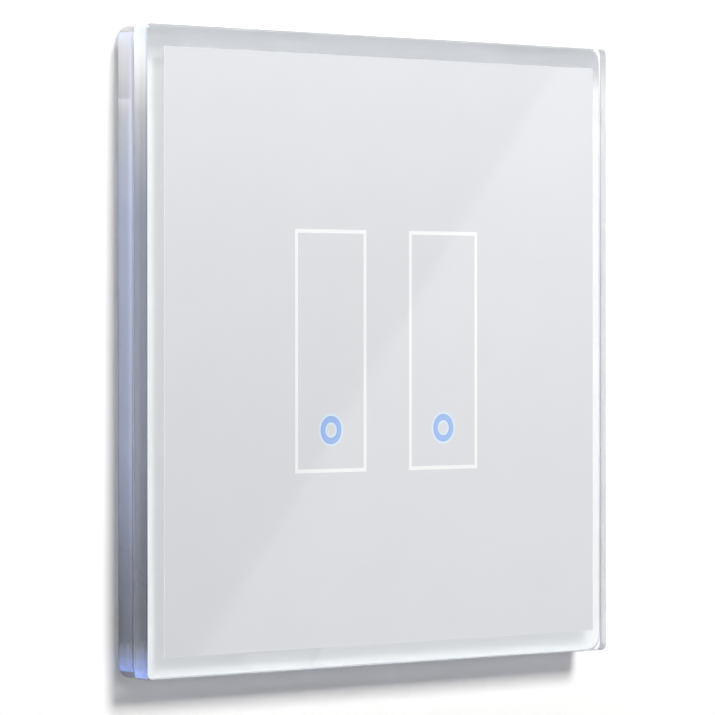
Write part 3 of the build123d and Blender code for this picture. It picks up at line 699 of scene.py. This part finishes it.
def from_bmesh(name, shape):
    """A mesh whose faces all point outwards."""
    bmesh.ops.recalc_face_normals(shape, faces=shape.faces)
    mesh = bpy.data.meshes.new(name)
    shape.to_mesh(mesh)
    shape.free()
    return mesh


def square_ring(side, radius, steps=10):
    """Points of a rounded square in X and Z, in order round it."""
    points = []
    reach = side / 2 - radius
    centres = [(reach, reach), (-reach, reach), (-reach, -reach), (reach, -reach)]
    for quarter, (x, z) in enumerate(centres):
        for step in range(steps + 1):
            turn = QUARTER * (quarter + step / steps)
            points.append((x + radius * math.cos(turn), z + radius * math.sin(turn)))
    return points


def lofted(name, levels, closed):
    """Joins rounded squares at several depths, into a frame or a plate with caps."""
    shape = bmesh.new()
    rings = [
        [shape.verts.new((x, depth, z)) for x, z in square_ring(side, radius)]
        for depth, side, radius in levels
    ]
    pairs = list(zip(rings, rings[1:]))
    if closed:
        pairs.append((rings[-1], rings[0]))
    for first, second in pairs:
        count = len(first)
        for here in range(count):
            there = (here + 1) % count
            shape.faces.new((first[here], first[there], second[there], second[here]))
    if not closed:
        shape.faces.new(rings[0])
        shape.faces.new(rings[-1])
    return from_bmesh(name, shape)


def cad_copy(node, change=None):
    """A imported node's mesh with its corners joined, and moved where asked."""
    shape = bmesh.new()
    shape.from_mesh(NODES[node].data)
    bmesh.ops.remove_doubles(shape, verts=shape.verts, dist=0.002 * MM)
    if change:
        for vertex in shape.verts:
            change(vertex.co)
    return shape


def sunk_copy(node, body, front=0.0, back=0.0):
    """A copy whose front or back is pushed into its neighbour, as if bonded to it."""
    low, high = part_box(node)
    halfway = (low.y + high.y) / 2

    def push(place):
        place.y += front if place.y < halfway else back

    name = node + "_bonded"
    mesh = from_bmesh(name, cad_copy(node, push))
    add_piece(name, mesh, body, slot_of(node), (node,), smooth=False)


# Shapes that repeat

def strand():
    """A strand wound round an axis. Four sides make it a thread, more make it wire."""
    g = Growth("strand", radius=1.0 * MM, length=5.0 * MM, pitch=0.6 * MM,
               thickness=0.3 * MM, sides=4, turn=(0.0, 0.0, 0.0))
    radius, length = g.size("Radius"), g.size("Length")
    spiral = g.node("GeometryNodeCurveSpiral", inputs={
        "Resolution": 24, "Rotations": length / g.size("Pitch"),
        "Start Radius": radius, "End Radius": radius, "Height": length})
    level = g.node("GeometryNodeSetCurveNormal", {"mode": "Z_UP"}, {"Curve": spiral})
    outline = g.node("GeometryNodeCurvePrimitiveCircle", inputs={
        "Resolution": g.size("Sides"), "Radius": g.size("Thickness") / 2})
    swept = g.node("GeometryNodeCurveToMesh", inputs={
        "Curve": level, "Profile Curve": outline, "Fill Caps": True})
    return g.done(swept, g.size("Turn"))


def solder_joint():
    """Solder that climbs a pin in a hollow cone."""
    g = Growth("solder_joint", pad=0.9 * MM, pin=0.5 * MM, reach=0.5 * MM,
               turn=(0.0, 0.0, 0.0))
    reach = g.size("Reach")
    cone = g.node("GeometryNodeMeshCone", inputs={
        "Vertices": 18, "Side Segments": 5, "Fill Segments": 1,
        "Radius Top": g.size("Pin"), "Radius Bottom": g.size("Pad"), "Depth": reach})
    place = g.node("GeometryNodeInputPosition")
    up = g.node("ShaderNodeSeparateXYZ", inputs={"Vector": place}, output="Z") / reach
    bend = up * math.pi
    hollow = bend.math("SINE", bend) * -0.24
    flat = g.node("ShaderNodeVectorMath", {"operation": "MULTIPLY"}, {
        0: place, 1: (1.0, 1.0, 0.0)})
    pull = g.node("ShaderNodeVectorMath", {"operation": "SCALE"}, {
        0: flat, "Scale": hollow})
    shaped = g.node(
        "GeometryNodeSetPosition", inputs={"Geometry": cone, "Offset": pull})
    return g.done(shaped, g.size("Turn"))


def pressed_dot():
    """A shallow round dimple or pip."""
    g = Growth("pressed_dot", radius=0.4 * MM, height=0.1 * MM)
    ball = g.node("GeometryNodeMeshUVSphere", inputs={
        "Segments": 14, "Rings": 7, "Radius": g.size("Radius")})
    share = g.size("Height") / g.size("Radius")
    scale = g.node("ShaderNodeCombineXYZ", inputs={"X": 1.0, "Y": share, "Z": 1.0})
    flat = g.node("GeometryNodeTransform", inputs={"Geometry": ball, "Scale": scale})
    return g.done(flat)


def rows(xs, y, zs):
    """Points at one depth, at every pairing of the given X and Z."""
    return [(x, y, z) for z in zs for x in xs]


# The panel that shows

class GlassPanel(bpy.types.Operator):
    """Glass plate, clear adhesive and clear frame"""

    bl_idname = "light_switch.glass_panel"
    bl_label = "Glass panel"

    def execute(self, context):
        sizes = context.scene.switch_sizes
        side, bevel = 2 * HALF, sizes.arris
        levels = ground_edge(
            GLASS_LOW.y, GLASS_HIGH.y, side, sizes.glass_corner, bevel)
        mesh = lofted("glass", levels, closed=False)
        add_piece("glass", mesh, PANEL, "clear_glass", ("glass_plate",))

        front, back = CLEAR_LOW.y, CLEAR_HIGH.y
        inner = (sizes.opening, OPENING_CORNER)
        levels = ground_edge(front, back, side, sizes.clear_corner, bevel)
        levels += [(back, *inner), (front, *inner)]
        mesh = lofted("clear_surround", levels, closed=True)
        cut_pry_notch(add_piece(
            "clear_surround", mesh, PANEL, "clear_acrylic", ("clear_frame",)))
        sunk_copy("edge_bond", PANEL, front=BOND_BITE, back=-BOND_BITE)
        return {"FINISHED"}


def ground_edge(front, back, side, corner, bevel):
    """Levels of a plate with a narrow rounded bevel at both faces."""
    levels = []
    steps = 4
    for step in range(steps + 1):
        turn = QUARTER * step / steps
        inset = bevel * (1 - math.sin(turn))
        deep = bevel * (1 - math.cos(turn))
        levels.append((front + deep, side - 2 * inset, corner - inset))
    for depth, width, radius in levels[::-1]:
        levels.append((back - (depth - front), width, radius))
    return levels


def cut_pry_notch(piece):
    """Takes out the notch under the frame, where a screwdriver lifts the panel."""
    size = Vector((NOTCH_WIDTH, 2 * NOTCH_DEEP, 2 * NOTCH_UP))
    middle_low = Vector((0, CLEAR_HIGH.y, CLEAR_LOW.z))
    shape = bmesh.new()
    bmesh.ops.create_cube(shape, size=1.0)
    for vertex in shape.verts:
        vertex.co = middle_low + vertex.co * size
    mesh = from_bmesh("notch_tool", shape)
    tool = bpy.data.objects.new("notch_tool", mesh)
    bpy.context.scene.collection.objects.link(tool)
    cut = piece.modifiers.new("notch", "BOOLEAN")
    cut.operation = "DIFFERENCE"
    cut.object = tool
    plain = bpy.data.meshes.new_from_object(
        piece.evaluated_get(bpy.context.evaluated_depsgraph_get()))
    piece.modifiers.clear()
    piece.data = plain
    bpy.data.objects.remove(tool)


class PrintedFace(bpy.types.Operator):
    """White enamel, key outlines and lit rings"""

    bl_idname = "light_switch.printed_face"
    bl_label = "Printed face"

    def execute(self, context):
        for node in ("white_print", "key_outlines", "ring_windows"):
            sunk_copy(node, PANEL, back=BOND_BITE)
        return {"FINISHED"}


class TouchElectronics(bpy.types.Operator):
    """Foam mask, touch board and what it carries"""

    bl_idname = "light_switch.touch_electronics"
    bl_label = "Touch electronics"

    def execute(self, context):
        sunk_copy("light_mask", PANEL, front=-BOND_BITE)
        dress(
            "touch_electrodes", "touch_board", "ring_light_pipes", "ring_leds",
            "edge_leds", "controller_chip", "board_passives", "header_base",
            "header_pins")
        return {"FINISHED"}


class PanelCarrier(bpy.types.Operator):
    """Moulded tray and its leaf springs"""

    bl_idname = "light_switch.panel_carrier"
    bl_label = "Panel carrier"

    def execute(self, context):
        dress("panel_carrier", "panel_clips")
        return {"FINISHED"}


class MountingFrame(bpy.types.Operator):
    """Steel mounting frame and its screws"""

    bl_idname = "light_switch.mounting_frame"
    bl_label = "Mounting frame"

    def execute(self, context):
        dress("mounting_frame", "frame_screws")
        return {"FINISHED"}


class ModuleShells(bpy.types.Operator):
    """Front cover and rear housing of the wall module"""

    bl_idname = "light_switch.module_shells"
    bl_label = "Module shells"

    def execute(self, context):
        dress("module_cover", "rear_housing")
        return {"FINISHED"}


class PowerParts(bpy.types.Operator):
    """Power board with its radio module, supply and relays"""

    bl_idname = "light_switch.power_parts"
    bl_label = "Power parts"

    def execute(self, context):
        dress(
            "power_board", "socket_strip", "wireless_board", "wireless_shield",
            "relay_bases", "relay_covers", "relay_yokes", "relay_cores",
            "fixed_contacts", "relay_armature_1", "relay_armature_2",
            "transformer_core", "transformer_winding", "filter_capacitor",
            "supply_capacitor", "fuse", "varistor")
        sizes = context.scene.switch_sizes
        self.wind_coils(sizes)
        self.solder_pins(sizes)
        self.press_shield()
        capacitor_vent()
        return {"FINISHED"}

    def wind_coils(self, sizes):
        """Bobbins with a slimmer barrel, and the wire that fills them."""
        low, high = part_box("relay_coils")
        axis_x, axis_z = high.x - COIL_FLANGE_R, (low.z + high.z) / 2
        wound_r, wire = COIL_FLANGE_R - COIL_RIM, sizes.coil_wire

        def slim(place):
            across = abs(place.x) - axis_x
            away = math.hypot(across, place.z - axis_z)
            if abs(away - COIL_BARREL_R) < 0.02 * MM:
                share = (wound_r - wire) / away
                place.x = math.copysign(axis_x + across * share, place.x)
                place.z = axis_z + (place.z - axis_z) * share

        mesh = from_bmesh("coil_bobbins", cad_copy("relay_coils", slim))
        add_piece("coil_bobbins", mesh, MODULE, "white_plastic", ("relay_coils",))
        length = high.y - low.y - 2 * COIL_FLANGE - 1.2 * wire
        start = high.y - COIL_FLANGE - 0.6 * wire
        mesh = strand().on(
            rows((-axis_x, axis_x), start, (axis_z,)), "copper_winding",
            radius=wound_r - wire / 2, length=length, pitch=1.04 * wire,
            thickness=wire, sides=6, turn=(QUARTER, 0.0, 0.0))
        add_piece("coil_wire", mesh, MODULE, "copper_winding")

    def solder_pins(self, sizes):
        """Joints on the front of the power board, round every pin and tail."""
        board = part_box("power_board")[0].y
        inner, outer = (
            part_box("relay_bases")[1].x - inwards for inwards in RELAY_PINS_IN)
        relay_z = middle("relay_bases").z
        pins = rows(
            (-outer, -inner, inner, outer), board,
            (relay_z - RELAY_PINS_UP, relay_z + RELAY_PINS_UP))
        tails = rows(
            [middle(f"terminal_cage_{pole}").x for pole in POLES], board,
            (middle("terminal_bars").z,))
        mesh = solder_joint().on(
            pins + tails, "shield_tin", pad=0.95 * MM, pin=0.46 * MM,
            reach=sizes.solder_reach, turn=(QUARTER, 0.0, 0.0))
        add_piece("solder_joints", mesh, MODULE, "shield_tin")

    def press_shield(self):
        """Two rows of dimples along the lid of the radio module."""
        low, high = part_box("wireless_shield")
        inset = 1.0 * MM
        steps = [low.x + inset + (high.x - low.x - 2 * inset) * n / 7 for n in range(8)]
        dots = rows(steps, low.y, (low.z + inset, high.z - inset))
        mesh = pressed_dot().on(dots, "shield_tin", radius=0.36 * MM, height=0.09 * MM)
        add_piece("shield_dimples", mesh, MODULE, "shield_tin")


def capacitor_vent():
    """Bare metal top of the round capacitor, scored with a cross."""
    centre, high = middle("filter_capacitor"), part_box("filter_capacitor")[1]
    reach, thick, gap = 0.84 * (high.x - centre.x), 0.10 * MM, math.radians(4)
    shape = bmesh.new()
    for quarter in range(4):
        start = QUARTER * quarter
        turns = [start + gap + (QUARTER - 2 * gap) * n / 10 for n in range(11)]
        points = [(0.12 * reach, start + QUARTER / 2)]
        points += [(reach, turn) for turn in turns]
        face = shape.faces.new([
            shape.verts.new((
                centre.x + away * math.cos(turn), high.y,
                centre.z + away * math.sin(turn)))
            for away, turn in points])
        lifted = bmesh.ops.extrude_face_region(shape, geom=[face])
        for part in lifted["geom"]:
            if isinstance(part, bmesh.types.BMVert):
                part.co.y += thick
    mesh = from_bmesh("capacitor_vent", shape)
    add_piece("capacitor_vent", mesh, MODULE, "shield_tin", smooth=False)


class Terminals(bpy.types.Operator):
    """Terminal block, contact bars, cages and threaded screws"""

    bl_idname = "light_switch.terminals"
    bl_label = "Terminals"

    def execute(self, context):
        dress("terminal_block", "terminal_bars")
        for pole in POLES:
            dress(f"terminal_cage_{pole}")
            self.thread_screw(f"terminal_screw_{pole}", context.scene.switch_sizes)
        return {"FINISHED"}

    def thread_screw(self, node, sizes):
        """A screw with its shank cut down to the core, and the thread round it."""
        low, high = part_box(node)
        axis, shank_low = middle(node), low.z + SCREW_HEAD
        deep = 0.5 * sizes.thread_pitch
        core_r = SHANK_R - deep

        def cut_down(place):
            away = math.hypot(place.x - axis.x, place.y - axis.y)
            if place.z > shank_low - 0.01 * MM and abs(away - SHANK_R) < 0.02 * MM:
                place.x = axis.x + (place.x - axis.x) * core_r / away
                place.y = axis.y + (place.y - axis.y) * core_r / away

        mesh = from_bmesh(node + "_core", cad_copy(node, cut_down))
        add_piece(node + "_core", mesh, node, "screw_steel", (node,))
        length = high.z - shank_low - 1.2 * sizes.thread_pitch
        mesh = strand().on(
            [(axis.x, axis.y, shank_low + 0.6 * sizes.thread_pitch)], "screw_steel",
            radius=core_r, length=length, pitch=sizes.thread_pitch,
            thickness=2 * deep, sides=4)
        add_piece(node + "_thread", mesh, node, "screw_steel")


# Stage

# The camera looks a little to the left of the middle, and below it.
AIM = Vector((-0.147, -0.464, -1.05)) * MM
PALE = 0.85


def stage_material(name, shade):
    """Matt paint, seen from its front only."""
    f = Finish(name)
    paint = f.noise(3 * MM, 3)
    gone = f.node("ShaderNodeBsdfTransparent")
    shadow = f.node("ShaderNodeLightPath", output="Is Shadow Ray")
    behind = f.node("ShaderNodeNewGeometry", output="Backfacing") * (1 - shadow)
    body = f.surface(
        base_color=f.blend(paint, tinted(shade, 0.995), shade), roughness=0.9,
        specular_ior_level=0.2)
    return f.done(f.node("ShaderNodeMixShader", inputs={0: behind, 1: body, 2: gone}))


def plane_piece(name, corners, material, faces=((0, 1, 2, 3),)):
    mesh = bpy.data.meshes.new(name)
    mesh.from_pydata(corners, [], faces)
    mesh.materials.append(material)
    piece = bpy.data.objects.new(name, mesh)
    bpy.context.scene.collection.objects.link(piece)
    return piece


def aimed(place, target, roll=0.0):
    """A camera or lamp placement that looks from a place at a target."""
    turn = (target - place).to_track_quat("-Z", "Y").to_matrix().to_4x4()
    return Matrix.Translation(place) @ turn @ Matrix.Rotation(roll, 4, "Z")


def area_lamp(name, place, target, wide, high, watts, shade, roll=0.0):
    light = bpy.data.lights.new(name, "AREA")
    light.shape = "RECTANGLE"
    light.size = wide
    light.size_y = high
    light.energy = watts
    light.color = shade
    lamp = bpy.data.objects.new(name, light)
    lamp.matrix_world = aimed(place, target, roll)
    bpy.context.scene.collection.objects.link(lamp)
    return lamp


def room_light(studio):
    """Dim in front of the wall, brighter behind it, and pale to the camera."""
    world = bpy.data.worlds.new("room_light")
    world.use_nodes = True
    sky = Graph(world.node_tree)
    sky.tree.nodes.clear()
    way = sky.node("ShaderNodeTexCoord", output="Generated")
    up = sky.node("ShaderNodeSeparateXYZ", inputs={"Vector": way}, output="Z")
    y = sky.node("ShaderNodeSeparateXYZ", inputs={"Vector": way}, output="Y")
    tone = sky.node("ShaderNodeMix", {"data_type": "RGBA"}, {
        0: up * 0.5 + 0.5, 6: (0.45, 0.45, 0.56, 1.0), 7: (1.0, 1.0, 1.0, 1.0)}, 2)
    seen = sky.node("ShaderNodeLightPath", output="Is Camera Ray")
    strength = (y.above(0.0) * studio.back_fill + studio.fill).most(seen * PALE)
    shine = sky.node(
        "ShaderNodeBackground", inputs={"Color": tone, "Strength": strength})
    end = sky.tree.nodes.new("ShaderNodeOutputWorld")
    sky.tree.links.new(shine.socket, end.inputs["Surface"])
    return world


class Studio(bpy.types.Operator):
    """Camera, lamps, wall and floor"""

    bl_idname = "light_switch.studio"
    bl_label = "Studio"

    def execute(self, context):
        studio = context.scene.studio_settings
        self.make_camera(context.scene, studio)
        self.make_room(context.scene, studio)
        self.make_lamps(studio)
        context.scene.view_settings.view_transform = "Standard"
        return {"FINISHED"}

    def make_camera(self, scene, studio):
        level = math.cos(studio.rise)
        back = Vector((
            -math.sin(studio.turn) * level,
            -math.cos(studio.turn) * level,
            math.sin(studio.rise)))
        data = bpy.data.cameras.new("camera")
        data.lens = studio.lens
        data.sensor_width = 36.0
        data.clip_start = 0.01
        camera = bpy.data.objects.new("camera", data)
        camera.matrix_world = aimed(AIM + studio.distance * back, AIM, studio.roll)
        scene.collection.objects.link(camera)
        scene.camera = camera

    def make_room(self, scene, studio):
        reach, floor, gap = 2.0, -0.30, 0.02 * MM
        wall = stage_material("wall_paint", (0.93, 0.93, 0.93))
        ground = stage_material("floor_paint", (0.4, 0.4, 0.41))
        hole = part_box("mounting_frame")[1].x - 0.5 * MM
        sides = [(n, (n + 1) % 4, 4 + (n + 1) % 4, 4 + n) for n in range(4)]
        plane_piece("wall", [
            (-reach, gap, floor), (reach, gap, floor), (reach, gap, reach),
            (-reach, gap, reach), (-hole, gap, -hole), (hole, gap, -hole),
            (hole, gap, hole), (-hole, gap, hole)], wall, sides)
        plane_piece("floor", [
            (-reach, -reach, floor), (reach, -reach, floor), (reach, reach, floor),
            (-reach, reach, floor)], ground)
        scene.world = room_light(studio)

    def make_lamps(self, studio):
        centre, upper = Vector((0, 0, 0)), Vector((0, 0, 0.03))
        white = (1.0, 0.99, 0.97)
        for name, place, target, wide, high, watts in (
                ("key", (0.13, -0.97, 0.63), centre, 0.36, 0.33, studio.key_light),
                ("top", (0.0, -0.065, 0.090), upper, 0.25, 0.02, studio.top_light),
                ("side", (-0.26, -0.05, 0.24), centre, 0.12, 0.12, studio.side_light),
                ("back", (-0.6, 0.9, 0.5), centre, 0.6, 0.6, studio.back_light)):
            area_lamp(name, Vector(place), target, wide, high, watts, white)
        self.make_card(studio, white)

    def make_card(self, studio, shade):
        """A square card off to the right, whose slanting edge shows in the gloss."""
        side, far, slant = 0.5, 1.0, math.radians(31.3)
        level = math.cos(studio.rise)
        away = Vector((
            math.sin(studio.turn) * level, -math.cos(studio.turn) * level,
            -math.sin(studio.rise)))
        across = away.cross(Vector((0, 0, 1))).normalized()
        up = across.cross(away)
        into = -across * math.cos(slant) - up * math.sin(slant)
        place = far * away + into * (side / 2)
        area_lamp(
            "reflection_card", place, place - away, side, side, studio.card, shade,
            -slant)


# Panel in the sidebar, and registration

STEPS = (
    Studio, GlassPanel, PrintedFace, TouchElectronics, PanelCarrier, MountingFrame,
    ModuleShells, PowerParts, Terminals,
)


class SidebarPanel(bpy.types.Panel):
    """Lists the settings and every step"""

    bl_idname = "VIEW3D_PT_light_switch"
    bl_label = "Light Switch"
    bl_space_type = "VIEW_3D"
    bl_region_type = "UI"
    bl_category = "Light Switch"

    def draw(self, context):
        scene = context.scene
        for group in (scene.switch_sizes, scene.switch_colours, scene.studio_settings):
            box = self.layout.box()
            for name in group.bl_rna.properties.keys():
                if name not in ("rna_type", "name"):
                    box.prop(group, name)
        for step in STEPS:
            self.layout.operator(step.bl_idname)


CLASSES = (SwitchSizes, SwitchColours, StudioSettings, *STEPS, SidebarPanel)


def register():
    for entry in CLASSES:
        bpy.utils.register_class(entry)
    bpy.types.Scene.switch_sizes = PointerProperty(type=SwitchSizes)
    bpy.types.Scene.switch_colours = PointerProperty(type=SwitchColours)
    bpy.types.Scene.studio_settings = PointerProperty(type=StudioSettings)


def unregister():
    del bpy.types.Scene.studio_settings
    del bpy.types.Scene.switch_colours
    del bpy.types.Scene.switch_sizes
    for entry in reversed(CLASSES):
        bpy.utils.unregister_class(entry)


def main():
    register()
    for step in STEPS:
        group, name = step.bl_idname.split(".")
        getattr(getattr(bpy.ops, group), name)()


if __name__ == "__main__":
    main()
